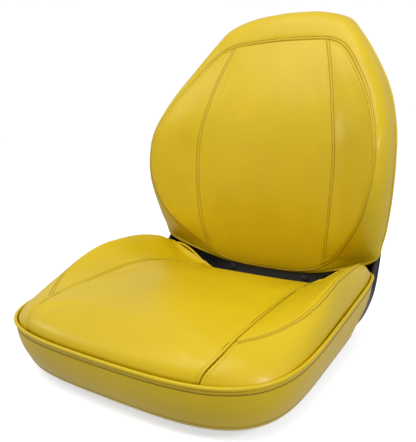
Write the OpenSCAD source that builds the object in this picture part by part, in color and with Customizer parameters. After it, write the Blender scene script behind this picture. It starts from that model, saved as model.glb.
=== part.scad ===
// High-back bucket seat for a riding mower: vinyl-covered foam cushions on a one-piece moulded shell,
// with two steel mounting rails and an operator-presence switch under the seat cushion.
// Origin: centre of the four mounting holes, on the underside of the rails. +Y is the back of the seat.

/* [Cushions] */
// Width of the seat cushion, bead to bead
seat_w = 486; // [400:1:600]
// Depth of the seat cushion, front bead to rear edge
seat_d = 458; // [380:1:550]
// Height of the back cushion, from the waist gap to the top hem
back_h = 535; // [440:1:650]
// Height of the front bead over the mounting face
front_edge_z = 85; // [80:1:105]
// Height of the side bolsters over the centre of the seat cushion
bolster_h = 41; // [20:1:55]
// Thickness of the vinyl and its scrim backing
vinyl_t = 1.6; // [1:0.1:2.2]
// Radius of the sewn bead around the seat cushion
bead_r = 2.8; // [2:0.1:3.2]
// Radius of the rolled hem around the back cushion
hem_r = 2.6; // [2:0.1:3]

/* [Shell and boards] */
// Wall of the moulded shell
shell_t = 4; // [3:0.5:5]
// Thickness of the board under each cushion
board_t = 9; // [6:0.5:12]
// Height of the shell's bosses that the boards rest on
boss_h = 6; // [5:0.5:9]

/* [Mounting rails] */
// Spacing of the mounting holes across the seat
hole_span_x = 203.2; // [180:0.1:240]
// Spacing of the mounting holes front to back
hole_span_y = 254; // [200:1:290]
// Diameter of the mounting holes
mount_hole_d = 8.5; // [8.2:0.1:10]
// Height of the rails' hat section
rail_h = 16; // [13:0.5:22]
// Steel thickness of the rails
rail_t = 3; // [2:0.5:4]
// Length of a rail past each mounting hole
rail_end = 23; // [18:1:28]

/* [Switch] */
// Travel of the presence switch's plunger
plunger_travel = 4; // [2:0.5:5]
// Diameter of the plunger
plunger_d = 12; // [9:0.5:13]

/* [Hidden] */

// The stations below are drawn for this standard size and stretched to the one asked for
std_w = 486;
std_d = 458;
std_back_h = 535;
wide = seat_w / std_w;
deep = seat_d / std_d;
tall = back_h / std_back_h;
waist_y = 180; // behind this the depth only shifts: the back keeps its thickness
waist_z = 66; // over this the height stretches with the back

function place(p) = [
    p.x * wide,
    p.y <= waist_y ? p.y * deep : waist_y * deep + p.y - waist_y,
    p.z <= waist_z ? p.z : waist_z + (p.z - waist_z) * tall
];
function place_seat(p) = let (b = bowed(p)) [b.x * wide, b.y * deep, b.z];

// ---- Small mathematics -------------------------------------------------------------------------
function clamp(v, lo, hi) = min(max(v, lo), hi);
function part_of(v, lo, hi) = clamp((v - lo) / (hi - lo), 0, 1);
function ease(v, lo, hi) = let (t = part_of(v, lo, hi)) t * t * (3 - 2 * t);
// Rise of a quarter ellipse: 0 at its foot, 1 past its radius
function roll(d, radius) = let (t = part_of(d, 0, radius)) sqrt(1 - (1 - t) * (1 - t));
function row_of(table, t, i = 0) = (i >= len(table) - 2 || t < table[i + 1][0]) ? i : row_of(table, t, i + 1);
function slope_at(table, i) =
    let (a = max(i - 1, 0), b = min(i + 1, len(table) - 1))
    (table[b] - table[a]) / (table[b][0] - table[a][0]);
// Smooth curve through the stations of a table whose first column is the parameter
function along(table, t) =
    let (i = row_of(table, t), h = table[i + 1][0] - table[i][0], s = (t - table[i][0]) / h)
    (2 * s ^ 3 - 3 * s ^ 2 + 1) * table[i] + (s ^ 3 - 2 * s ^ 2 + s) * h * slope_at(table, i)
    + (3 * s ^ 2 - 2 * s ^ 3) * table[i + 1] + (s ^ 3 - s ^ 2) * h * slope_at(table, i + 1);
function steps(n) = [for (i = [0:n]) i / n];
function mirrored(p) = [-p.x, p.y, p.z];
function flat_list(g) = [for (r = g) each r];

// ---- Solids from grids of points ---------------------------------------------------------------
// Points moved along the surface normal by d
function offset_grid(g, d) =
    let (n = len(g) - 1, m = len(g[0]) - 1)
    [for (i = [0:n]) [for (j = [0:m])
        let (
            u = g[min(i + 1, n)][j] - g[max(i - 1, 0)][j],
            v = g[i][min(j + 1, m)] - g[i][max(j - 1, 0)],
            k = cross(u, v)
        )
        g[i][j] + d * k / norm(k)
    ]];
// Closed solid between two grids of the same shape, outer on the side that cross(row, column) points to
module solid_between(outer, inner) {
    n = len(outer) - 1;
    m = len(outer[0]) - 1;
    w = m + 1;
    total = (n + 1) * w;
    faces = [
        for (i = [0:n - 1]) for (j = [0:m - 1])
            let (a = i * w + j, b = a + 1, c = a + w, d = c + 1)
            each [[a, b, c], [b, d, c], [total + a, total + c, total + b], [total + b, total + c, total + d]],
        for (i = [0:n - 1]) for (e = [[i * w, total + i * w, 1], [i * w + m, total + i * w + m, 0]])
            each e[2] == 1
                ? [[e[0], e[0] + w, e[1]], [e[0] + w, e[1] + w, e[1]]]
                : [[e[0], e[1], e[0] + w], [e[0] + w, e[1], e[1] + w]],
        for (j = [0:m - 1]) for (e = [[j, total + j, 1], [n * w + j, total + n * w + j, 0]])
            each e[2] == 1
                ? [[e[0], e[1], e[0] + 1], [e[0] + 1, e[1], e[1] + 1]]
                : [[e[0], e[0] + 1, e[1]], [e[0] + 1, e[1] + 1, e[1]]]
    ];
    polyhedron(points = concat(flat_list(outer), flat_list(inner)), faces = faces);
}
// Closed tube of radius r around a closed loop of points
module loop_tube(path, r, sides = 8) {
    n = len(path);
    rings = [for (i = [0:n - 1])
        let (
            t = path[(i + 1) % n] - path[(i + n - 1) % n],
            a = cross(t, [0, 0, 1]),
            x = norm(a) > 0.001 ? a / norm(a) : [1, 0, 0],
            b = cross(x, t),
            y = b / norm(b)
        )
        [for (k = [0:sides - 1]) path[i] + r * (cos(360 * k / sides) * x + sin(360 * k / sides) * y)]
    ];
    polyhedron(
        points = flat_list(rings),
        faces = [for (i = [0:n - 1]) for (k = [0:sides - 1])
            let (
                a = i * sides + k, b = i * sides + (k + 1) % sides,
                c = ((i + 1) % n) * sides + k, d = ((i + 1) % n) * sides + (k + 1) % sides
            )
            each [[a, b, c], [b, d, c]]
        ]
    );
}
// Tube with capped ends along an open path
module open_tube(path, r, sides = 8) {
    n = len(path);
    rings = [for (i = [0:n - 1])
        let (
            t = path[min(i + 1, n - 1)] - path[max(i - 1, 0)],
            a = cross(t, [0, 0, 1]),
            x = a / norm(a),
            b = cross(x, t),
            y = b / norm(b)
        )
        [for (k = [0:sides - 1]) path[i] + r * (cos(360 * k / sides) * x + sin(360 * k / sides) * y)]
    ];
    polyhedron(
        points = flat_list(rings),
        faces = concat(
            [for (i = [0:n - 2]) for (k = [0:sides - 1])
                let (
                    a = i * sides + k, b = i * sides + (k + 1) % sides,
                    c = (i + 1) * sides + k, d = (i + 1) * sides + (k + 1) % sides
                )
                each [[a, b, c], [b, d, c]]
            ],
            [[for (k = [sides - 1:-1:0]) k]],
            [[for (k = [0:sides - 1]) (n - 1) * sides + k]]
        )
    );
}

// ---- Seat cushion surface ----------------------------------------------------------------------
half_w = std_w / 2;
front_y = -280;
rear_y = front_y + std_d;
mid_y = (front_y + rear_y) / 2;
half_d = std_d / 2;
front_square = 4.5; // squareness of the front corners
rear_square = 8;
tip_y = -216; // where the two bolster seams meet
front_roll = 66;
rear_roll = 30;
side_margin = 9; // how far the side roll reaches in past the bolster's crest
bow_y = 9; // the front edge bows forward by this at its middle
bow_z = 3; // and down by this

function square_of(s) = s < 0 ? front_square : rear_square;
// Share of the front bow felt at a point: all of it at the middle of the front edge
function bow_at(x, y) = (1 - part_of(abs(x), 0, half_w) ^ 2) * part_of(mid_y - y, 0, half_d) ^ 4;
// Point of the cushion's edge at a polar angle, inset by d and before the front bow
function edge(angle, d = 0) =
    let (c = cos(angle), s = sin(angle), n = square_of(s), r = (abs(c) ^ n + abs(s) ^ n) ^ (-1 / n))
    [(half_w - d) * c * r, mid_y + (half_d - d) * s * r];
function bowed(p) = [p.x, p.y - bow_y * bow_at(p.x, p.y), p.z - bow_z * bow_at(p.x, p.y)];
function side_x(y) =
    let (t = (y - mid_y) / half_d, n = square_of(t))
    half_w * (1 - clamp(abs(t), 0, 1) ^ n) ^ (1 / n);
function front_of(x) = mid_y - half_d * (1 - clamp(abs(x) / half_w, 0, 1) ^ front_square) ^ (1 / front_square);
function rear_of(x) = mid_y + half_d * (1 - clamp(abs(x) / half_w, 0, 1) ^ rear_square) ^ (1 / rear_square);
// Height of the bead line, which dips behind the sitter at the waist
function edge_z(x, y) =
    let (side = front_edge_z + 46 * part_of(y, front_y, rear_y) ^ 1.3)
    side - (1 - ease(abs(x), 90, 200)) * (side - 74) * ease(y, 22, rear_y - 3);
// Seam between the centre panel and its neighbour
function inner_seam_x(y) =
    164.5 - 34 * part_of(y, -8, 143) ^ 1.8 - 16 * part_of(-y, 228, 278) ^ 2.5;
// Crest of the bolster, where its outer seam runs
function crest_x(y) = 164 + 65 * (1 - (1 - part_of(y, tip_y, -44)) ^ 2.5) - 18 * part_of(y, 22, 172) ^ 2;
function crest_z(y) = 119 + (bolster_h + 3) * ease(y, tip_y, -13) - 32 * part_of(y, 22, 172) ^ 2;
function centre_z(y) = 122 - 42 * part_of(y, -58, 172) ^ 1.9;
function seat_z(x, y) =
    let (
        ax = abs(x),
        full = centre_z(y) + (crest_z(y) - centre_z(y)) * part_of(ax, 95, crest_x(y)) ^ 2.6,
        low = edge_z(x, y),
        rounding = roll(side_x(y) - ax, max(side_x(y) - crest_x(y), 6) + side_margin)
            * roll(y - front_of(x), front_roll) * roll(rear_of(x) - y, rear_roll)
    )
    low + (full - low) * rounding;
function on_seat(x, y) = [x, y, seat_z(x, y)];
function edge_point(angle) = let (p = edge(angle)) [p.x, p.y, edge_z(p.x, p.y)];
function placed_grid(g) = [for (r = g) [for (p = r) place_seat(p)]];
// The cover's top and the foam stay inside the sewn bead all round
bead_clear = bead_r + 0.3;
function tucked(p) = [
    p.x * (half_w - bead_clear) / half_w, mid_y + (p.y - mid_y) * (half_d - bead_clear) / half_d, p.z
];

seam_gap = 0.3; // each panel stops this far from its seam line
crest_gap = 1.9; // more where the cover turns a ridge, for the turned-in seam allowance
edge_gap = 0.4; // and this far inside the bead line
foam_gap = vinyl_t + 1.5; // foam surface under the cover's outer face
boxing_inset = 17.6; // the boxing leans in by this at its lower edge
function boxing_low_z(y) = 21 + 25 * part_of(y, front_y, rear_y) ^ 1.5;
function shell_rim_z(y) = 50 + 6 * part_of(y, front_y, 12) + 60 * part_of(y, 30, 170) ^ 1.7;

// ---- Back cushion surface ----------------------------------------------------------------------
// Sewn outline of the insert, from the bottom centre to the top centre: parameter, x, y, z
outline = [
    [0, 0, 208, 88], [0.08, 60, 206, 91], [0.15, 107, 200, 103], [0.22, 148, 184, 132],
    [0.30, 185, 146, 179], [0.38, 208, 127, 220], [0.46, 223, 117, 270], [0.54, 229, 121, 320],
    [0.62, 224, 133, 365], [0.70, 204, 168, 420], [0.78, 172, 205, 473], [0.86, 135, 236, 520],
    [0.90, 105, 244, 536], [0.95, 55, 247, 541], [1, 0, 248, 543]
];
// Hem behind the border panel, at the same parameters
hem_line = [
    [0, 0, 216, 84.5], [0.08, 60, 215, 86.5], [0.15, 125, 205, 98], [0.22, 219, 184, 134],
    [0.30, 236, 190, 172], [0.38, 244, 188, 220], [0.46, 249, 182, 270], [0.54, 250, 183, 322],
    [0.62, 244, 199, 375], [0.70, 224, 231, 437], [0.78, 190, 264, 497], [0.86, 149, 286, 555],
    [0.90, 124, 295, 580], [0.95, 70, 301, 597], [1, 0, 302, 602]
];
// Depth of the back's centre line at each height
back_centre = [
    [88, 208], [103, 203], [120, 199], [170, 188], [227, 180], [276, 178], [323, 179], [354, 181],
    [404, 191], [457, 209], [507, 231], [543, 248]
];
// Distance of the upright seams from the centre at each height
upright_seam = [[88, 100], [112, 122], [165, 134], [225, 140], [285, 143], [350, 141], [457, 121], [539, 97]];

function outline_at(u) = let (r = along(outline, u)) [r[1], r[2], r[3]];
function hem_at(u) = let (r = along(hem_line, u)) [r[1], r[2], r[3]];
// Point of the insert on the row of parameter u, f of the way from the centre to the outline
function insert_point(u, f) =
    let (c = outline_at(u), y0 = along(back_centre, c.z)[1])
    [c.x * f, y0 + (c.y - y0) * part_of(abs(f), 0.45, 1) ^ 2, c.z];
// Point of the border panel, s of the way from the outline to the hem
function border_point(u, s) =
    let (
        c = outline_at(u), h = hem_at(u),
        k = [c.x + 1.12 * (h.x - c.x), c.y + 0.18 * (h.y - c.y), c.z + 1.18 * (h.z - c.z)]
    )
    (1 - s) ^ 2 * c + 2 * s * (1 - s) * k + s ^ 2 * h;
function placed(g) = [for (r = g) [for (p = r) place(p)]];

// ---- Shell -------------------------------------------------------------------------------------
recline_rise = 0.1691; // backward lean of the shell's back for each millimetre of height
recline = atan(recline_rise);
shell_y0 = 209.4; // where the line of the shell's back meets the mounting plane
floor_z = rail_h;
function back_line_y(z) = shell_y0 + recline_rise * z;
// Parameter, y and z on the centre line, then x, y and z on the rim
shell_stations = [
    [0, -246, 50, 196, -234, 50], [0.04, -242, 30, 204, -227, 50], [0.09, -227, 18.5, 208, -203, 50],
    [0.14, -205, 16, 211, -175, 50], [0.20, -150, 16, 213, -130, 50], [0.28, -70, 16, 217, -60, 53],
    [0.36, 0, 16, 220, 0, 56], [0.44, 80, 16, 225, 70, 63], [0.50, 130, 16, 228, 115, 80],
    [0.53, 162, 16, 229, 145, 100], [0.57, 190, 23, 229, 172, 120], [0.62, 212, 43, 228, 191, 140],
    [0.66, 222, 74, 229, 198, 163], [0.70, 228.8, 115, 232, 197, 195], [0.74, 238.1, 170, 237, 194, 232],
    [0.78, 248.3, 230, 242, 188, 275], [0.82, 260.1, 300, 243, 190, 322], [0.86, 272, 370, 236, 207, 377],
    [0.90, 283.8, 440, 216, 239, 439], [0.94, 294, 500, 182, 272, 499], [0.97, 303.3, 555, 141, 294, 556],
    [0.985, 307.5, 580, 117, 303, 580], [0.995, 310, 596, 66, 308, 596], [1, 310.5, 603, 14, 309.5, 602]
];
floor_flat = 168; // half-width of the flat of the floor
back_flat_gain = 17; // the flat of the back is wider by this on each side
// The side walls of the lower rear corner swell out between floor and rim
function belly(v) = 7 * ease(v, 0.42, 0.53) * (1 - ease(v, 0.66, 0.8));
section_steps = [0, 0.25, 0.5, 0.75, 1];
corner_steps = 7;
// Half of a cross-section: flat from the centre, then a quarter-ellipse corner up to the rim
function shell_half(v) =
    let (
        s = along(shell_stations, v), z0 = max(s[2], 16),
        flat_x = min(floor_flat + back_flat_gain * ease(v, 0.5, 0.66), s[3] * 0.8)
    )
    concat(
        [for (t = section_steps) [t * flat_x, s[1], z0]],
        [for (k = [1:corner_steps])
            let (a = 90 * k / corner_steps, up = 1 - cos(a), out = belly(v) * sin(2 * a))
            [flat_x + (s[3] - flat_x) * sin(a) + out, s[1] + (s[4] - s[1]) * up, z0 + (s[5] - z0) * up]
        ]
    );
function lifted(p) = [p.x, p.y, p.z + (floor_z - 16) * (1 - part_of(p.z, 16, 50))];
function shell_row(v) =
    let (h = shell_half(v), n = len(h) - 1)
    concat([for (i = [n:-1:1]) place(lifted(mirrored(h[i])))], [for (p = h) place(lifted(p))]);
shell_rows = [for (i = [0:len(shell_stations) - 2]) for (h = [0, 0.5])
    shell_stations[i][0] * (1 - h) + shell_stations[i + 1][0] * h];

// ---- Hardware places ---------------------------------------------------------------------------
rail_x = hole_span_x / 2;
rail_web_w = 38;
rail_flange_w = 15;
rail_len = hole_span_y + 2 * rail_end;
rail_bolt_dx = rail_web_w / 2 + rail_flange_w / 2;
rail_bolt_y = hole_span_y / 2 - 30;
floor_top = floor_z + shell_t;
board_z = floor_top + boss_h;
board_top = board_z + board_t;
screw_d = 6;
screw_clear = 0.25;
cushion_screw_x = 50;
cushion_screw_ys = [-185 * deep, 105 * deep];
back_screw_x = 110 * wide;
back_screw_zs = [190, 440];
waist_screw_x = 83 * wide;
waist_screw_z = 73;
waist_tilt = 12;
drain_y = 134 * deep;
drain_d = 16;
switch_y = -40 * deep;
foam_under = board_top + 1.5;

module rail_points() {
    for (sx = [-1, 1]) for (dx = [-1, 1]) for (sy = [-1, 1])
        translate([sx * rail_x + dx * rail_bolt_dx, sy * rail_bolt_y, 0]) children();
}
module mount_points() {
    for (sx = [-1, 1]) for (sy = [-1, 1]) translate([sx * rail_x, sy * hole_span_y / 2, 0]) children();
}
module cushion_points() {
    for (sx = [-1, 1]) for (y = cushion_screw_ys) translate([sx * cushion_screw_x, y, 0]) children();
}
// Frame on the outer face of the shell's back: local +Y points backward, local Z runs up the back
module on_back(x, z) {
    p = place([0, back_line_y(z), z]);
    translate([x, p.y, p.z]) rotate([-back_tilt, 0, 0]) children();
}
back_tilt = atan(recline_rise / tall);
module back_points() {
    for (sx = [-1, 1]) for (z = back_screw_zs) on_back(sx * back_screw_x, z) children();
}
module waist_points() {
    p = place([0, 221.8, waist_screw_z]);
    for (sx = [-1, 1]) translate([sx * waist_screw_x, p.y, p.z]) rotate([-waist_tilt, 0, 0]) children();
}
// A cylinder along local Y from y0 to y1
module along_y(d, y0, y1, fn = 32) {
    translate([0, y0, 0]) rotate([-90, 0, 0]) cylinder(d = d, h = y1 - y0, $fn = fn);
}

// ---- Shell and rails ---------------------------------------------------------------------------
module seat_shell() {
    outer = [for (v = concat(shell_rows, [1])) shell_row(v)];
    color([0.11, 0.11, 0.12]) difference() {
        union() {
            solid_between(outer, offset_grid(outer, -shell_t));
            cushion_points() translate([0, 0, floor_z + 1]) cylinder(d = 20, h = shell_t + boss_h - 1);
            back_points() along_y(20, -shell_t - boss_h / 2, -1);
        }
        cushion_points() translate([0, 0, floor_z - 2])
            cylinder(d = screw_d + 2 * screw_clear, h = shell_t + boss_h + 4, $fn = 32);
        rail_points() translate([0, 0, floor_z - 2])
            cylinder(d = screw_d + 2 * screw_clear, h = shell_t + 4, $fn = 32);
        back_points() along_y(screw_d + 2 * screw_clear, -shell_t - boss_h, 4);
        waist_points() along_y(screw_d + 2 * screw_clear, -shell_t - 8, 8);
        translate([0, drain_y, floor_z - 2]) cylinder(d = drain_d, h = shell_t + 4, $fn = 40);
        translate([0, switch_y, floor_z - 2]) cylinder(d = barrel_d + 0.6, h = shell_t + 4, $fn = 48);
    }
}
module rail(side) {
    hw = rail_web_w / 2;
    hf = hw + rail_flange_w;
    color([0.2, 0.2, 0.21]) difference() {
        translate([side * rail_x, rail_len / 2, 0]) rotate([90, 0, 0]) linear_extrude(rail_len)
            polygon([
                [-hf, rail_h], [-hf, rail_h - rail_t], [-hw, rail_h - rail_t], [-hw, 0], [hw, 0],
                [hw, rail_h - rail_t], [hf, rail_h - rail_t], [hf, rail_h], [hw - rail_t, rail_h],
                [hw - rail_t, rail_t], [rail_t - hw, rail_t], [rail_t - hw, rail_h]
            ]);
        mount_points() translate([0, 0, -1]) cylinder(d = mount_hole_d, h = rail_t + 2, $fn = 40);
        rail_points() translate([0, 0, rail_h - rail_t - 1])
            cylinder(d = screw_d + 2 * screw_clear, h = rail_t + 2, $fn = 32);
    }
}
module left_rail() {
    rail(-1);
}
module right_rail() {
    rail(1);
}
module weld_nuts() {
    color([0.72, 0.72, 0.7]) mount_points() translate([0, 0, rail_t]) difference() {
        cylinder(d = mount_hole_d + 6.5, h = 6.5, $fn = 6);
        translate([0, 0, -1]) cylinder(d = mount_hole_d, h = 9, $fn = 32);
    }
}
module rail_bolts() {
    color([0.72, 0.72, 0.7]) rail_points() {
        translate([0, 0, floor_top + 1.5]) cylinder(d1 = 12, d2 = 9, h = 3, $fn = 32);
        translate([0, 0, rail_h - rail_t - 7]) cylinder(d = screw_d, h = shell_t + rail_t + 9, $fn = 32);
    }
}
module rail_washers() {
    color([0.78, 0.78, 0.76]) rail_points() translate([0, 0, floor_top]) difference() {
        cylinder(d = 16, h = 1.5, $fn = 32);
        translate([0, 0, -1]) cylinder(d = screw_d + 0.5, h = 4, $fn = 32);
    }
}
module rail_nuts() {
    color([0.72, 0.72, 0.7]) rail_points() translate([0, 0, rail_h - rail_t - 5]) difference() {
        cylinder(d = 11.5, h = 5, $fn = 6);
        translate([0, 0, -1]) cylinder(d = screw_d + 0.1, h = 7, $fn = 32);
    }
}

// ---- Seat cushion ------------------------------------------------------------------------------
module seat_base_board() {
    hw = 172 * wide;
    y0 = -218 * deep;
    y1 = 146 * deep;
    r = 40;
    color([0.72, 0.58, 0.4]) difference() {
        translate([0, 0, board_z]) linear_extrude(board_t) union() {
            for (x = [-1, 1]) for (y = [y0 + r, y1 - r]) translate([x * (hw - r), y]) circle(r = r, $fn = 64);
            translate([-hw, y0 + r]) square([2 * hw, y1 - y0 - 2 * r]);
            translate([-hw + r, y0]) square([2 * (hw - r), y1 - y0]);
        }
        cushion_points() translate([0, 0, board_z - 1]) cylinder(d = t_nut_d + 0.2, h = board_t + 2, $fn = 32);
        translate([0, switch_y, board_z - 1]) cylinder(d = 44, h = board_t + 2, $fn = 48);
    }
}
t_nut_d = 8;
module t_nut() {
    rotate_extrude($fn = 32) polygon([
        [screw_d / 2 + 0.05, -7], [t_nut_d / 2, -7], [t_nut_d / 2, 0], [9.5, 0], [9.5, 1.2],
        [screw_d / 2 + 0.05, 1.2]
    ]);
}
module seat_t_nuts() {
    color([0.8, 0.76, 0.6]) cushion_points() translate([0, 0, board_top]) t_nut();
}
module seat_cushion_screws() {
    tip = board_top - 1;
    color([0.72, 0.72, 0.7]) cushion_points() {
        translate([0, 0, floor_z - 1.2 - 3.2]) cylinder(d1 = 7, d2 = 11, h = 3.2, $fn = 32);
        translate([0, 0, floor_z - 1.3]) cylinder(d = screw_d, h = tip - floor_z + 1.3, $fn = 32);
    }
}
module seat_screw_washers() {
    color([0.78, 0.78, 0.76]) cushion_points() translate([0, 0, floor_z - 1.2]) difference() {
        cylinder(d = 16, h = 1.2, $fn = 32);
        translate([0, 0, -1]) cylinder(d = screw_d + 0.5, h = 4, $fn = 32);
    }
}

foam_turns = 72;
foam_rings = [0.2, 0.4, 0.55, 0.66, 0.74, 0.81, 0.87, 0.915, 0.95, 0.975, 0.99, 1];
// Unit normal of the cushion's top, from its slopes
function seat_normal(x, y) =
    let (
        h = 0.4, n = [seat_z(x - h, y) - seat_z(x + h, y), seat_z(x, y - h) - seat_z(x, y + h), 2 * h]
    )
    n / norm(n);
function foam_top_ring(f) = [for (i = [0:foam_turns - 1])
    let (p = edge(360 * i / foam_turns, 0.8), x = p.x * f, y = mid_y + (p.y - mid_y) * f)
    place_seat(tucked([x, y, seat_z(x, y)] - foam_gap * seat_normal(x, y)))];
function foam_side_ring(d) = [for (i = [0:foam_turns - 1])
    let (p = edge(360 * i / foam_turns, d))
    place_seat([p.x, p.y, min(shell_rim_z(p.y) + 6 + (floor_z - 16), edge_z(p.x, p.y) - 12)])];
function foam_floor_ring(d) = [for (i = [0:foam_turns - 1])
    let (p = edge(360 * i / foam_turns, d))
    [p.x * wide, p.y * deep, foam_under]];
module seat_foam() {
    n = foam_turns;
    rings = concat(
        [for (f = foam_rings) foam_top_ring(f)],
        [foam_side_ring(14), foam_side_ring(46), foam_floor_ring(56)]
    );
    last = len(rings) - 1;
    middle = [place_seat([0, mid_y, seat_z(0, mid_y) - foam_gap]), [0, mid_y * deep, foam_under]];
    color([0.93, 0.88, 0.7]) polyhedron(
        points = concat(flat_list(rings), middle),
        faces = concat(
            [for (i = [0:last - 1]) for (j = [0:n - 1])
                let (a = i * n + j, b = i * n + (j + 1) % n, c = a + n, d = b + n)
                each [[a, b, c], [b, d, c]]],
            [for (j = [0:n - 1]) [(last + 1) * n, (j + 1) % n, j]],
            [for (j = [0:n - 1]) [(last + 1) * n + 1, last * n + j, last * n + (j + 1) % n]]
        )
    );
}

// Rows of a panel bunch up towards its two ends, where the cushion rolls over
function bunched(n) = [for (t = steps(n)) (1 - cos(180 * t)) / 2];
module seat_skin(g) {
    top = [for (r = g) [for (p = r) place_seat(tucked(p))]];
    solid_between(top, offset_grid(top, -vinyl_t));
}
module seat_centre_panel() {
    color([0.86, 0.7, 0.08]) seat_skin([for (t = bunched(22)) [for (f = steps(14))
        let (
            x0 = (1 - 2 * f) * inner_seam_x(front_y + t * std_d),
            y = front_of(x0) + edge_gap + t * (rear_of(x0) - front_of(x0) - 2 * edge_gap)
        )
        on_seat((1 - 2 * f) * (inner_seam_x(y) - seam_gap), y)
    ]]);
}
leaf_start = tip_y + 9;
// Leaf-shaped panel between the two bolster seams
function leaf_grid() = [for (t = bunched(18)) [for (f = steps(6))
    let (
        y0 = leaf_start + t * (rear_y - leaf_start),
        x0 = crest_x(y0) + f * (inner_seam_x(y0) - crest_x(y0)),
        y = leaf_start + t * (rear_of(x0) - edge_gap - leaf_start),
        a = inner_seam_x(y) + seam_gap, b = crest_x(y) - seam_gap
    )
    on_seat(b + f * (a - b), y)
]];
function flipped(g) = [for (r = g) [for (j = [len(r) - 1:-1:0]) mirrored(r[j])]];
module right_bolster_panel() {
    color([0.86, 0.7, 0.08]) seat_skin(leaf_grid());
}
module left_bolster_panel() {
    color([0.86, 0.7, 0.08]) seat_skin(flipped(leaf_grid()));
}
outer_from = -57; // polar angles of the outer panel's ends on the edge line
outer_to = 42;
outer_start = front_y + 13;
outer_end = rear_of(crest_x(rear_y)) - edge_gap;
function outer_seam(t) =
    let (y = outer_start + t * (outer_end - outer_start))
    [(y < tip_y ? inner_seam_x(y) : crest_x(y)) + crest_gap, y];
function outer_grid() = [for (t = steps(26)) [for (f = [0.99, 0.93, 0.84, 0.71, 0.54, 0.36, 0.18, 0])
    let (s = outer_seam(t), e = edge(outer_from + t * (outer_to - outer_from)), p = s + f * (e - s))
    on_seat(p.x, p.y)
]];
module right_outer_panel() {
    color([0.86, 0.7, 0.08]) seat_skin(outer_grid());
}
module left_outer_panel() {
    color([0.86, 0.7, 0.08]) seat_skin(flipped(outer_grid()));
}

// The boxing's rear ends are cut back in an S that leaves the shell's lower corner bare
boxing_end_high = 150;
boxing_end_low = 64;
boxing_swell = 4; // the boxing swells out by this between its two edges
function end_angle(y) = let (t = (y - mid_y) / half_d) atan2(t, (1 - t ^ rear_square) ^ (1 / rear_square));
function boxing_point(b, a) =
    let (
        end = end_angle(boxing_end_high - (boxing_end_high - boxing_end_low) * ease(a, 0.25, 0.75)),
        angle = -90 + abs(b) * (end + 90), p = edge(angle, boxing_inset * a - boxing_swell * sin(180 * a)),
        z0 = edge_z(p.x, p.y) - bead_r - edge_gap, z1 = boxing_low_z(p.y)
    )
    [b < 0 ? -p.x : p.x, p.y, z0 + a * (z1 - z0)];
module seat_boxing() {
    g = placed_grid([for (i = [-30:30]) [for (a = steps(6)) boxing_point(i / 30, 1 - a)]]);
    color([0.68, 0.56, 0.12]) solid_between(g, offset_grid(g, -vinyl_t));
}
module seat_bead() {
    color([0.9, 0.76, 0.2])
        loop_tube([for (i = [0:95]) place_seat(edge_point(360 * i / 96))], bead_r);
}

// ---- Back cushion ------------------------------------------------------------------------------
back_rows = [for (i = [0:36]) 0.004 + 0.992 * i / 36];
foam_border = 0.84; // the foam stops at this share of the border, clear of the hem and the shell's rim
function back_half_row(u, cols, border_cols) = concat(
    [for (f = steps(cols)) insert_point(u, f)],
    [for (s = steps(border_cols)) if (s > 0) border_point(u, min(foam_border, border_end(u) - 0.07) * s)]
);
function full_row(h) = let (n = len(h) - 1)
    concat([for (i = [n:-1:0]) h[i]], [for (i = [1:n]) mirrored(h[i])]);
module back_skin(g) {
    front = placed(g);
    solid_between(front, offset_grid(front, -vinyl_t));
}
// Fraction of the row where an upright seam crosses it
function seam_part(u) = let (c = outline_at(u)) min(along(upright_seam, c.z)[1] / c.x, 1);
panel_rows = [for (i = [0:28]) 0.03 + 0.94 * i / 28];
module back_centre_panel() {
    color([0.8, 0.68, 0.08]) back_skin([for (u = panel_rows) [for (f = steps(12))
        let (c = outline_at(u)) insert_point(u, (1 - 2 * f) * (seam_part(u) - seam_gap / c.x))
    ]]);
}
wing_from = 0.2;
wing_to = 0.885;
function wing_grid() = [for (i = [0:24]) let (u = wing_from + (wing_to - wing_from) * i / 24, c = outline_at(u))
    [for (f = steps(6)) insert_point(u, 1 - seam_gap / c.x
        - f * (1 - seam_part(u) - 2 * seam_gap / c.x))]];
module right_wing_panel() {
    color([0.8, 0.68, 0.08]) back_skin(wing_grid());
}
module left_wing_panel() {
    color([0.8, 0.68, 0.08]) back_skin(flipped(wing_grid()));
}
function border_span(u) = norm(hem_at(u) - outline_at(u));
// Share of the border at which it comes up against the hem
function hem_gap(p, u) = min([for (d = [-0.045:0.015:0.045]) norm(p - hem_at(clamp(u + d, 0, 1)))]);
function hem_room(u) = hem_r + 0.6 + (vinyl_t + 0.7) * (1 - ease(u, 0.25, 0.33)); // more where the border folds under
function border_end(u, s = 0.99) =
    s < 0.3 || hem_gap(border_point(u, s), u) > hem_room(u) ? s : border_end(u, s - 0.02);
module back_border() {
    rows = [for (i = [0:40]) 0.15 + 0.85 * i / 40];
    half = [for (u = rows) [for (f = steps(6))
        let (a = (vinyl_t + seam_gap) / border_span(u), b = border_end(u))
        border_point(u, b + f * (a - b))
    ]];
    other = [for (i = [len(half) - 2:-1:0]) [for (p = half[i]) mirrored(p)]];
    g = placed(concat(half, other));
    color([0.84, 0.7, 0.07]) solid_between(g, offset_grid(g, -vinyl_t));
}
module back_hem() {
    half = [for (i = [0:48]) hem_at(i / 48)];
    other = [for (i = [47:-1:1]) mirrored(half[i])];
    color([0.84, 0.7, 0.07]) loop_tube([for (p = concat(half, other)) place(p)], hem_r);
}
board_low = 150;
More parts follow.
